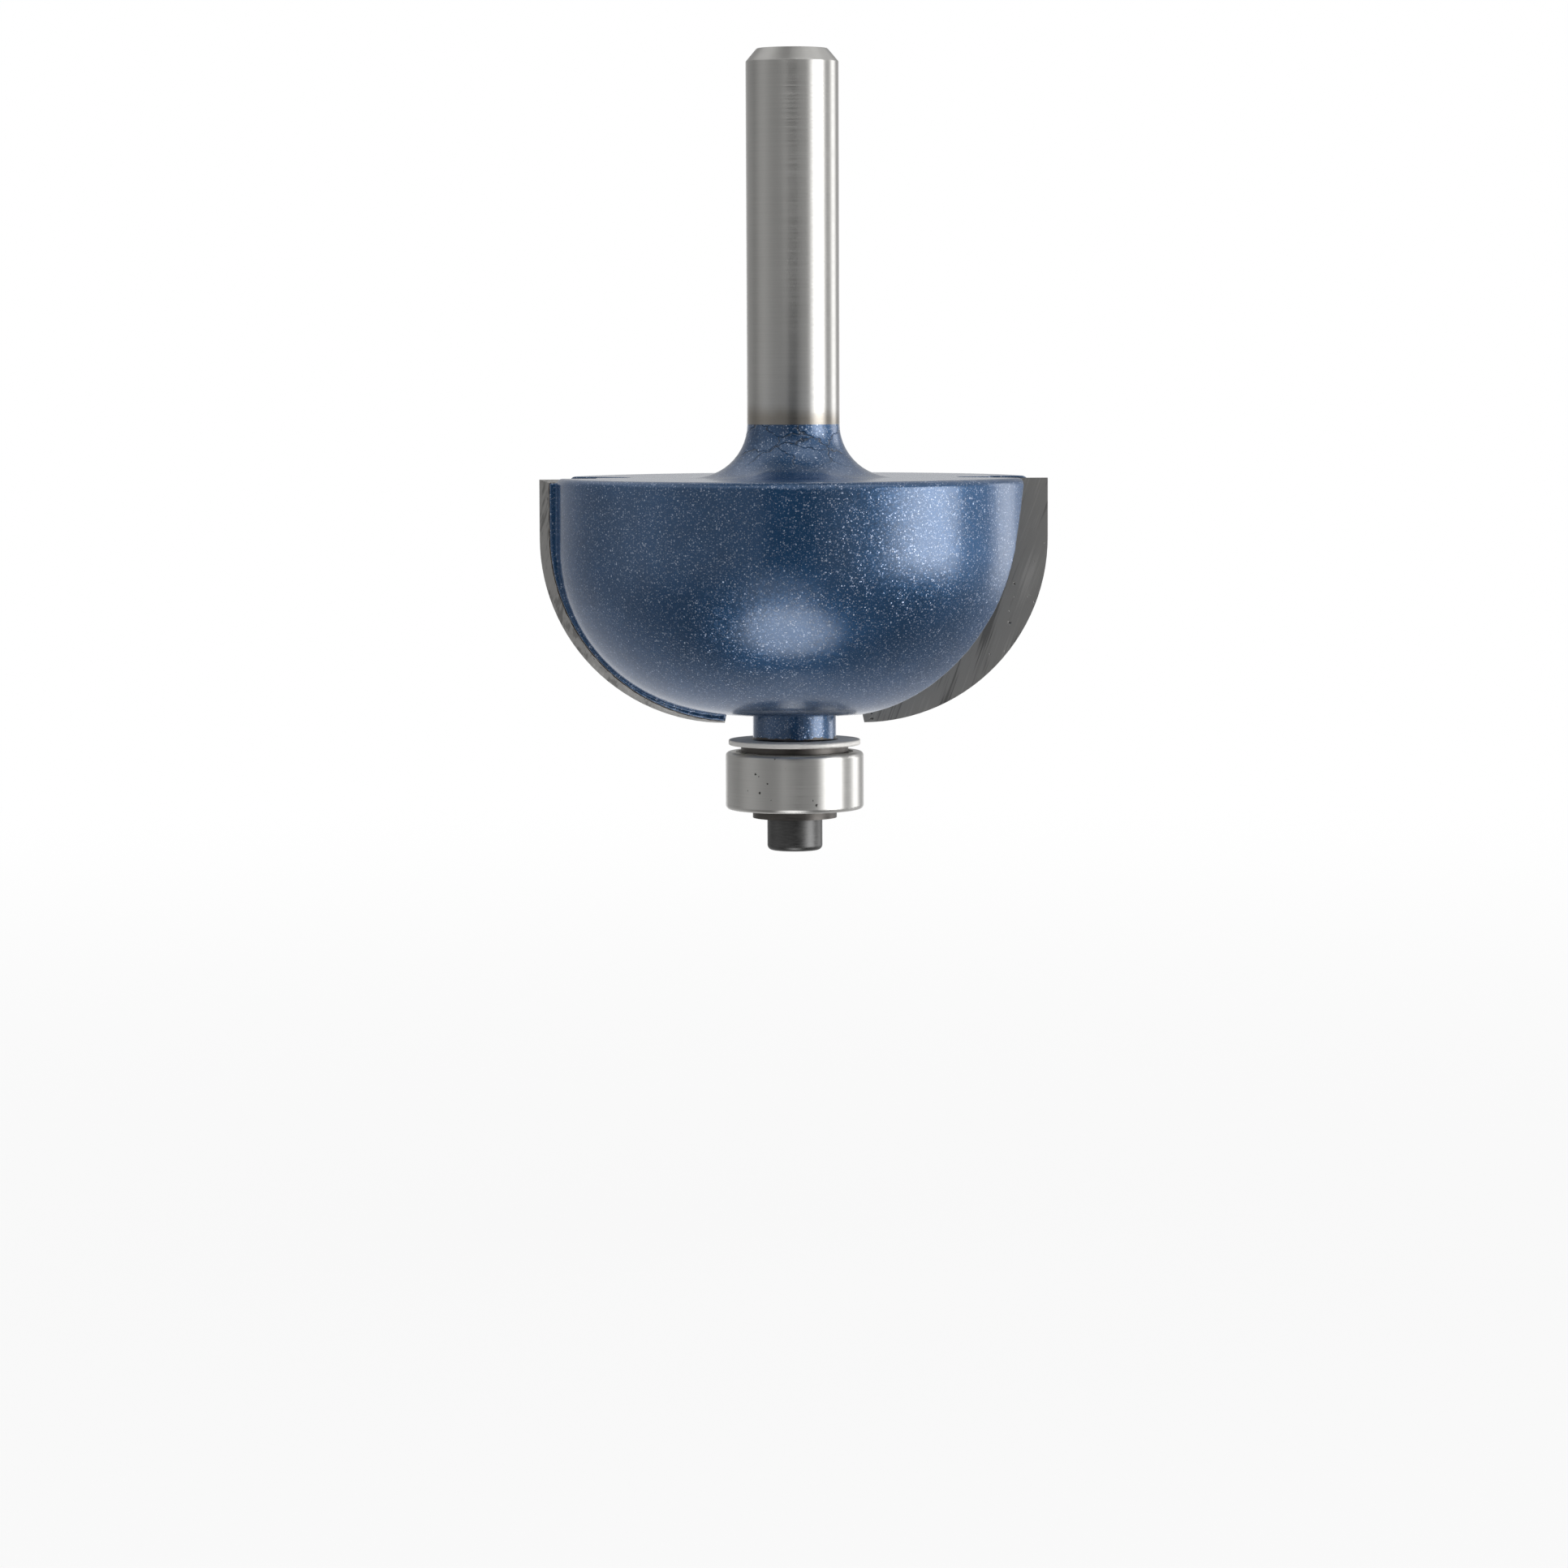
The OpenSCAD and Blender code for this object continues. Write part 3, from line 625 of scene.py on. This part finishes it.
class BIT_OT_stage(bpy.types.Operator):
    """Camera, floor, studio and lights"""
    bl_idname = "bit.stage"
    bl_label = "Stage"

    def execute(self, context):
        scene, looks = context.scene, context.scene.stage_looks
        scene.view_settings.view_transform = "Standard"
        self.camera(scene, looks)
        self.studio(scene, looks)
        self.floor(scene, looks)
        self.top_lamp(scene, looks)
        return {"FINISHED"}

    def camera(self, scene, looks):
        """The camera stands in front of the bit, a little above its middle, and looks slightly down."""
        data = bpy.data.cameras.new("camera")
        data.sensor_fit = "HORIZONTAL"
        data.sensor_width = 36.0
        data.lens = looks.lens
        data.clip_start, data.clip_end = 0.01, 20.0
        cam = bpy.data.objects.new("camera", data)
        scene.collection.objects.link(cam)
        yaw, dip, roll = (math.radians(a) for a in (CAMERA_YAW, CAMERA_DIP, CAMERA_ROLL))
        ahead = Vector((math.sin(yaw) * math.cos(dip), math.cos(yaw) * math.cos(dip), -math.sin(dip)))
        level = Vector((math.cos(yaw), -math.sin(yaw), 0))
        upright = level.cross(ahead)
        right = math.cos(roll) * level + math.sin(roll) * upright
        up = right.cross(ahead)
        turn = Matrix((right, up, -ahead)).transposed().to_4x4()
        cam.matrix_world = Matrix.Translation(Vector(CAMERA_AT) * MM) @ turn
        scene.camera = cam

    def studio(self, scene, looks):
        """A white backdrop behind the bit, and around it a studio whose brightness depends on the direction:
        dark behind the camera, grey on the left, with a pale table below and a white ceiling."""
        world = bpy.data.worlds.new("studio")
        scene.world = world
        world.use_nodes = True
        t = world.node_tree
        t.nodes.clear()
        at = node(t, "ShaderNodeTexCoord")
        part = node(t, "ShaderNodeSeparateXYZ", links={"Vector": (at, "Generated")})
        front = node(t, "ShaderNodeMath", {1: -1.0}, {0: (part, "Y")}, operation="MULTIPLY")
        turn = node(t, "ShaderNodeMath", links={0: (part, "X"), 1: (front, "Value")}, operation="ARCTAN2")
        around = node(t, "ShaderNodeMapRange", {"From Min": -math.pi, "From Max": math.pi},
                      {"Value": (turn, "Value")})
        # Brightness around the bit: 0 is behind it, 0.5 is towards the camera, 0.75 is to the right
        level = node(t, "ShaderNodeValToRGB", links={"Fac": (around, "Result")}, stops=greys((
            (0.0, 0.42), (0.07, 0.41), (0.12, 0.38), (0.20, 0.30), (0.25, 0.48), (0.29, 0.53), (0.36, 0.38),
            (0.44, 0.34), (0.458, 0.28), (0.472, 0.06), (0.52, 0.06), (0.54, 0.28), (0.58, 0.44),
            (0.68, 0.42), (0.79, 0.60), (0.85, 0.5), (1.0, 0.42))))
        table = node(t, "ShaderNodeValToRGB", links={"Fac": (around, "Result")}, stops=greys((
            (0.0, 0.8), (0.15, 0.5), (0.3, 0.16), (0.5, 0.16), (0.7, 0.16), (0.85, 0.5), (1.0, 0.8))))
        down = node(t, "ShaderNodeMapRange", {"From Min": -0.12, "From Max": -0.55}, {"Value": (part, "Z")},
                    interpolation_type="SMOOTHSTEP")
        sides = node(t, "ShaderNodeMix", links={"Factor": (down, "Result"), "A": (level, "Color"),
                                                "B": (table, "Color")}, data_type="RGBA")
        over = node(t, "ShaderNodeMapRange", {"From Min": 0.40, "From Max": 0.70}, {"Value": (part, "Z")},
                    interpolation_type="SMOOTHSTEP")
        ceiling = node(t, "ShaderNodeValToRGB", links={"Fac": (part, "Z")},
                       stops=greys(((0.4, 0.85), (0.85, 0.8), (0.97, 0.2), (1.0, 0.2))))
        lit = node(t, "ShaderNodeMix", links={"Factor": (over, "Result"), "A": (sides, "Result"),
                                              "B": (ceiling, "Color")}, data_type="RGBA")
        height = node(t, "ShaderNodeMath", links={0: (part, "Z")}, operation="ARCSINE")
        # Soft lights on the right and behind on the right, and round bright patches of the table in front,
        # which the bowl's lower half mirrors
        lamps = (self.glow(t, turn, height, (36, 64, 76, 92), (-22, -4, 12, 30), looks.key),
                 self.glow(t, turn, height, (106, 118, 124, 140), (-24, -4, 12, 30), looks.rim),
                 self.patch(t, at, -4, -57, (2, 25), looks.low),
                 self.patch(t, at, -8, -34, (2, 24), 0.25 * looks.low))
        for lamp in lamps:
            lit = node(t, "ShaderNodeMix", {"Factor": 1.0}, {"A": (lit, "Result"), "B": (lamp, "Value")},
                       data_type="RGBA", blend_type="ADD")
        # Behind the bit, reflections see the same white backdrop as the camera does
        path = node(t, "ShaderNodeLightPath")
        mirror = node(t, "ShaderNodeMath",
                      links={0: (path, "Is Glossy Ray"), 1: (path, "Is Transmission Ray")},
                      operation="MAXIMUM")
        behind = node(t, "ShaderNodeMapRange", {"From Min": 0.86, "From Max": 0.97}, {"Value": (part, "Y")},
                      interpolation_type="SMOOTHSTEP")
        below = node(t, "ShaderNodeMapRange", {"From Min": 0.07, "From Max": 0.02}, {"Value": (part, "Z")},
                     interpolation_type="SMOOTHSTEP")
        for area in (behind, below):
            mirror = node(t, "ShaderNodeMath", links={0: (mirror, "Value"), 1: (area, "Result")},
                          operation="MULTIPLY")
        white = node(t, "ShaderNodeMath", links={0: (mirror, "Value"), 1: (path, "Is Camera Ray")},
                     operation="MAXIMUM")
        shown = node(t, "ShaderNodeMix", {"B": (1.0, 1.0, 1.0, 1.0)},
                     {"Factor": (white, "Value"), "A": (lit, "Result")}, data_type="RGBA")
        back = node(t, "ShaderNodeBackground", {"Strength": looks.studio}, {"Color": (shown, "Result")})
        node(t, "ShaderNodeOutputWorld", links={"Surface": (back, "Background")})

    def glow(self, t, turn, height, azimuth, elevation, strength):
        """A soft-edged bright area of the studio. Along each angle, in degrees, it grows from the first value
        to the second and fades from the third to the fourth. Azimuth is from the camera to the right."""
        edges = []
        for angle, (a, b, c, d) in ((turn, azimuth), (height, elevation)):
            for dark, full in ((a, b), (d, c)):
                edges.append(node(t, "ShaderNodeMapRange",
                                  {"From Min": math.radians(dark), "From Max": math.radians(full)},
                                  {"Value": (angle, "Value")}, interpolation_type="SMOOTHSTEP"))
        out = node(t, "ShaderNodeMath", {1: strength}, {0: (edges[0], "Result")}, operation="MULTIPLY")
        for edge in edges[1:]:
            out = node(t, "ShaderNodeMath", links={0: (out, "Value"), 1: (edge, "Result")},
                       operation="MULTIPLY")
        return out

    def patch(self, t, at, azimuth, elevation, radii, strength):
        """A round soft-edged bright area of the studio about a direction: full within the first angle from it
        and gone at the second, all in degrees."""
        near = node(t, "ShaderNodeVectorMath", {1: self.direction(azimuth, elevation)},
                    {0: (at, "Generated")}, operation="DOT_PRODUCT")
        full, gone = (math.cos(math.radians(r)) for r in radii)
        share = node(t, "ShaderNodeMapRange", {"From Min": gone, "From Max": full},
                     {"Value": (near, "Value")}, interpolation_type="SMOOTHSTEP")
        return node(t, "ShaderNodeMath", {1: strength}, {0: (share, "Result")}, operation="MULTIPLY")

    def direction(self, azimuth, elevation):
        """The direction from the bit at two angles in degrees. Azimuth is from the camera to the right."""
        a, e = math.radians(azimuth), math.radians(elevation)
        return math.sin(a) * math.cos(e), -math.cos(a) * math.cos(e), math.sin(e)

    def floor(self, scene, looks):
        """A level plane below the bit: a disc whose rings widen outwards, r = 6 v^2 metres. The camera sees
        it pale, and paler far away, with the bit's shadow. The bit mirrors the studio's table in its place."""
        low = CAD_BOX[0][2] - looks.floor_drop
        v = np.linspace(0, 1, 24)[:, None] ** 2 * 6.0
        a = np.linspace(0, 2 * np.pi, 64, endpoint=False)[None]
        points = np.stack([v * np.cos(a), v * np.sin(a), low + 0 * v * a], -1)
        mesh = grid_mesh("floor", points, around=True)
        orient(mesh, merge=True)
        m, t = blank("matt white paper")
        at = node(t, "ShaderNodeTexCoord")
        flat = node(t, "ShaderNodeVectorMath", {1: (1, 1, 0)}, {0: (at, "Object")}, operation="MULTIPLY")
        away = node(t, "ShaderNodeVectorMath", links={0: (flat, "Vector")}, operation="LENGTH")
        share = node(t, "ShaderNodeMapRange",
                     {"From Min": 0.06, "From Max": 0.4, "To Min": 0.86, "To Max": 1.0},
                     {"Value": (away, "Value")}, interpolation_type="SMOOTHSTEP")
        path = node(t, "ShaderNodeLightPath")
        mirror = node(t, "ShaderNodeMath",
                      links={0: (path, "Is Glossy Ray"), 1: (path, "Is Transmission Ray")},
                      operation="MAXIMUM")
        seen = node(t, "ShaderNodeMath", links={0: (mirror, "Value"), 1: (path, "Is Camera Ray")},
                    operation="MAXIMUM")
        glow = node(t, "ShaderNodeMath", links={0: (share, "Result"), 1: (seen, "Value")},
                    operation="MULTIPLY")
        paper = node(t, "ShaderNodeBsdfDiffuse", {"Color": (0.9, 0.9, 0.9, 1.0)})
        white = node(t, "ShaderNodeEmission", {"Color": (1.0, 1.0, 1.0, 1.0), "Strength": 1.0})
        mix = node(t, "ShaderNodeMixShader",
                   links={0: (glow, "Value"), 1: (paper, "BSDF"), 2: (white, "Emission")})
        node(t, "ShaderNodeOutputMaterial", links={"Surface": (mix, "Shader")})
        obj = bpy.data.objects.new("floor", mesh)
        mesh.materials.append(m)
        scene.collection.objects.link(obj)
        obj.visible_glossy = False

    def top_lamp(self, scene, looks, azimuth=40, elevation=62, distance=0.45, side=0.3):
        """A soft square lamp above the bit on the right, which faces the middle of the head. Metres and
        degrees."""
        data = bpy.data.lights.new("top", "AREA")
        data.shape = "RECTANGLE"
        data.size = data.size_y = side
        data.energy = looks.top
        lamp = bpy.data.objects.new("top", data)
        scene.collection.objects.link(lamp)
        way = Vector(self.direction(azimuth, elevation))
        lamp.location = Vector((0, 0, -10 * MM)) + way * distance
        lamp.rotation_euler = way.to_track_quat("Z", "Y").to_euler()
        lamp.visible_camera = False


class BIT_OT_shank(bpy.types.Operator):
    """Bare ground shank with its chamfered end"""
    bl_idname = "bit.shank"
    bl_label = "Shank"

    def execute(self, context):
        looks = context.scene.bit_looks
        # The wall, the chamfer between two small roundings, and the flat end
        round_r, chamfer_z = 0.12, 24.46
        wall = np.linspace(looks.paint_line / MM, chamfer_z - 0.02, 60)
        profile = np.concatenate([
            np.stack([np.full_like(wall, SHANK_R), wall], -1),
            arc(SHANK_R - round_r, chamfer_z, round_r, 4, 36, 5),
            np.linspace([3.12, 24.57], [2.50, 25.31], 6)[1:-1],
            arc(2.36, SHANK_TOP - round_r, round_r, 40, 90, 6),
            np.linspace([2.3, SHANK_TOP], [0.0, SHANK_TOP], 14)])
        mesh = revolve("shank", profile)
        # Ground between two wheels: fine rings, a long gleam, and a brown tint where brazing heated the foot
        material = ground_metal("centreless ground steel", toned(looks.steel), toned(looks.steel, 0.8),
                                0.34, 0.09, 4.5, 0.0002, anisotropy=0.85, streak=0.3, blotch=0.3,
                                heat=(0.7, 1.9, linear("d6d0c8")))
        piece("shank", mesh, material, "bit")
        return {"FINISHED"}


class BIT_OT_head(bpy.types.Operator):
    """Painted head, neck and arbor, with the paint rounded over every edge"""
    bl_idname = "bit.head"
    bl_label = "Head"

    def execute(self, context):
        looks = context.scene.bit_looks
        mesh = softened("bit_body", "head", looks.paint_line / MM, NECK_BOTTOM + 0.05, looks.paint_edge / MM,
                        ("carbide_tip_1", "carbide_tip_2"))
        piece("head", mesh, paint_material(looks), "bit", ["bit_body"])
        return {"FINISHED"}


class BIT_OT_tips(bpy.types.Operator):
    """Carbide tips and the braze lines around them"""
    bl_idname = "bit.tips"
    bl_label = "Tips"

    def execute(self, context):
        looks = context.scene.bit_looks
        material = carbide_material(looks)
        for k in (1, 2):
            dress(f"carbide_tip_{k}", material)
        crust = braze_material(looks)
        for k, turn in ((1, 0.0), (2, math.pi)):
            piece(f"braze_flank_{k}", self.flank_bead(looks, turn, 10 + k), crust, "bit")
            piece(f"braze_top_{k}", self.top_bead(looks, turn, 20 + k), crust, "bit")
        return {"FINISHED"}

    def bead(self, name, path, normal, across, width, height, turn):
        """A low rounded ridge along a path: the cross-section is a little over half an ellipse, with the
        given half width across the joint and the given height along the normal. It is turned about the axis
        at the end."""
        phi = np.linspace(-0.15, np.pi + 0.15, 9)
        points = (path[:, None] + np.cos(phi)[None, :, None] * width[:, None, None] * across[:, None]
                  + np.sin(phi)[None, :, None] * height[:, None, None] * normal[:, None])
        c, s = math.cos(turn), math.sin(turn)
        points = points @ np.array([[c, s, 0], [-s, c, 0], [0, 0, 1]])
        mesh = grid_mesh(name, points * MM)
        orient(mesh, merge=False)
        return mesh

    def uneven(self, t, seed, rate, least, most, share=0.3, mean=1.0):
        """A factor along a bead that varies about its mean between a least and a most."""
        return (mean + share * wave(t, seed, rate)).clip(least, most)

    def flank_bead(self, looks, turn, seed):
        """Follows the back edge of a tip on the flank: a straight edge, then an arc of the cove's radius
        about a centre moved in by the side relief and up by the bottom relief."""
        n = 24
        cx, cz = BEARING_R - SIDE_RELIEF, COVE_Z + BOTTOM_RELIEF
        last = math.acos((END_X - cx) / COVE_R) - 0.01
        line = np.stack([np.full(n, cx + COVE_R), np.full(n, TIP_T), np.linspace(TIP_BACK_TOP, cz, n)], -1)
        th = np.linspace(0, last, 160)[1:]
        curve = np.stack([cx + COVE_R * np.cos(th), np.full_like(th, TIP_T), cz - COVE_R * np.sin(th)], -1)
        path = np.concatenate([line, curve])
        out = np.concatenate([np.tile([1.0, 0, 0], (n, 1)), np.stack([np.cos(th), 0 * th, -np.sin(th)], -1)])
        t = np.linspace(0, 1, len(path))
        path = path + np.array([0, 1, 0]) * (0.03 + 0.035 * wave(t, seed, 9))[:, None]
        width = looks.bead / MM * self.uneven(t, seed + 100, 12, 0.35, 1.6, share=0.25, mean=0.8)
        height = 0.05 * self.uneven(t, seed + 200, 14, 0.4, 1.7)
        across = np.tile([0, 1.0, 0], (len(path), 1))
        return self.bead("braze_flank", path, out, across, width, height, turn)

    def top_bead(self, looks, turn, seed):
        """Follows the joint on the tip's top: along the back of the tip, then forwards along its seat."""
        n = 60
        outer = BEARING_R - SIDE_RELIEF + COVE_R - 0.05
        back = np.stack([np.linspace(outer, SEAT_X, n), np.full(n, TIP_T), np.full(n, TIP_BACK_TOP)], -1)
        side = np.stack([np.full(n, SEAT_X), np.linspace(TIP_T, 0.08, n),
                         np.linspace(TIP_BACK_TOP, TIP_FRONT_TOP, n)], -1)
        path = np.concatenate([back, side[1:]])
        t = np.linspace(0, 1, len(path))
        across = np.zeros_like(path)
        across[:n, 1], across[n:, 0] = 1.0, -1.0
        across[n - 1] = [-0.7, 0.7, 0]
        path = path + across * (0.03 * wave(t, seed, 6))[:, None]
        width = looks.bead / MM * self.uneven(t, seed + 100, 8, 0.35, 1.6, share=0.25, mean=0.8)
        height = 0.04 * self.uneven(t, seed + 200, 9, 0.4, 1.7)
        up = np.tile([0, 0, 1.0], (len(path), 1))
        return self.bead("braze_top", path, up, across, width, height, turn)


class BIT_OT_washers(bpy.types.Operator):
    """Dust washer, spacer and lower washer"""
    bl_idname = "bit.washers"
    bl_label = "Washers"

    def execute(self, context):
        looks = context.scene.bit_looks
        # Turned and tumbled: soft and pale, with faint rings. The nearly white colour is partly painted sheen,
        # standing in for the bright gleam on the front edge
        bright = ground_metal("turned bright steel", toned(looks.washer), toned(looks.washer, 0.8),
                              0.6, 0.12, 0.5, 0.003, metallic=0.4)
        # Turned steel, dull and dark, with faint rings
        dark = ground_metal("dull dark steel", toned(looks.dark_washer), toned(looks.dark_washer, 0.45),
                            0.42, 0.14, 1.2, 0.004)
        dress("dust_washer", bright)
        dress("spacer_ring", dark)
        dress("lock_washer", dark)
        return {"FINISHED"}


class BIT_OT_bearing(bpy.types.Operator):
    """Rings, balls, cage, shields and snap rings of the bearing"""
    bl_idname = "bit.bearing"
    bl_label = "Bearing"

    def execute(self, context):
        looks = context.scene.bit_looks
        # Ground and finely honed: bands of light along the axis, and a few small pits of rust
        ring = ground_metal("ground bearing steel", toned(looks.bearing), toned(looks.bearing, 0.7),
                            0.33, 0.07, 6.0, 0.0001, anisotropy=0.8, streak=0.4, blotch=0.35, pitted=0.04)
        # Lapped to a mirror
        polished = ground_metal("lapped ball steel", toned(looks.bearing), toned(looks.bearing),
                                0.07, 0.2, 0.2, 0.0001)
        # Rolled sheet, stamped: satin, and greyer than the rings
        pressed = ground_metal("pressed steel sheet", toned(looks.bearing, 0.7), toned(looks.bearing, 0.45),
                               0.32, 0.12, 1.0, 0.002)
        # Stamped from strip: warm and satin
        brass = ground_metal("pressed brass", toned(looks.brass), toned(looks.brass, 0.7),
                             0.3, 0.15, 1.0, 0.002)
        for name in ("outer_ring", "inner_ring"):
            dress(name, ring)
        for k in range(1, 8):
            dress(f"ball_{k}", polished)
        dress("ball_cage", brass)
        for name in ("upper_shield", "lower_shield", "upper_snap_ring", "lower_snap_ring"):
            dress(name, pressed)
        return {"FINISHED"}


class BIT_OT_screw(bpy.types.Operator):
    """Cap screw that holds the bearing"""
    bl_idname = "bit.screw"
    bl_label = "Cap screw"

    def execute(self, context):
        looks = context.scene.bit_looks
        # Turned, then blackened in hot salts: near-black and slightly oily, with faint turning lines
        black = ground_metal("black oxide on turned steel", toned(looks.oxide), toned(looks.oxide, 0.5),
                             0.4, 0.12, 1.0, 0.003)
        dress("cap_screw", black)
        return {"FINISHED"}


class BIT_PT_panel(bpy.types.Panel):
    """Lists the steps and the finishes"""
    bl_idname = "BIT_PT_panel"
    bl_label = "Router bit"
    bl_space_type = "VIEW_3D"
    bl_region_type = "UI"
    bl_category = "Router bit"

    def draw(self, context):
        column = self.layout.column(align=True)
        for step in STEPS:
            column.operator(step.bl_idname)
        for looks in (context.scene.bit_looks, context.scene.stage_looks):
            box = self.layout.box().column()
            for name in looks.__annotations__:
                box.prop(looks, name)


STEPS = (BIT_OT_stage, BIT_OT_shank, BIT_OT_head, BIT_OT_tips, BIT_OT_washers, BIT_OT_bearing, BIT_OT_screw)
CLASSES = (BitLooks, StageLooks, *STEPS, BIT_PT_panel)


def register():
    """Registers the classes and their properties."""
    for c in CLASSES:
        bpy.utils.register_class(c)
    bpy.types.Scene.bit_looks = PointerProperty(type=BitLooks)
    bpy.types.Scene.stage_looks = PointerProperty(type=StageLooks)


def unregister():
    """Undoes what register does."""
    del bpy.types.Scene.stage_looks
    del bpy.types.Scene.bit_looks
    for c in reversed(CLASSES):
        bpy.utils.unregister_class(c)


def main():
    register()
    for step in STEPS:
        group, name = step.bl_idname.split(".")
        getattr(getattr(bpy.ops, group), name)()


if __name__ == "__main__":
    main()
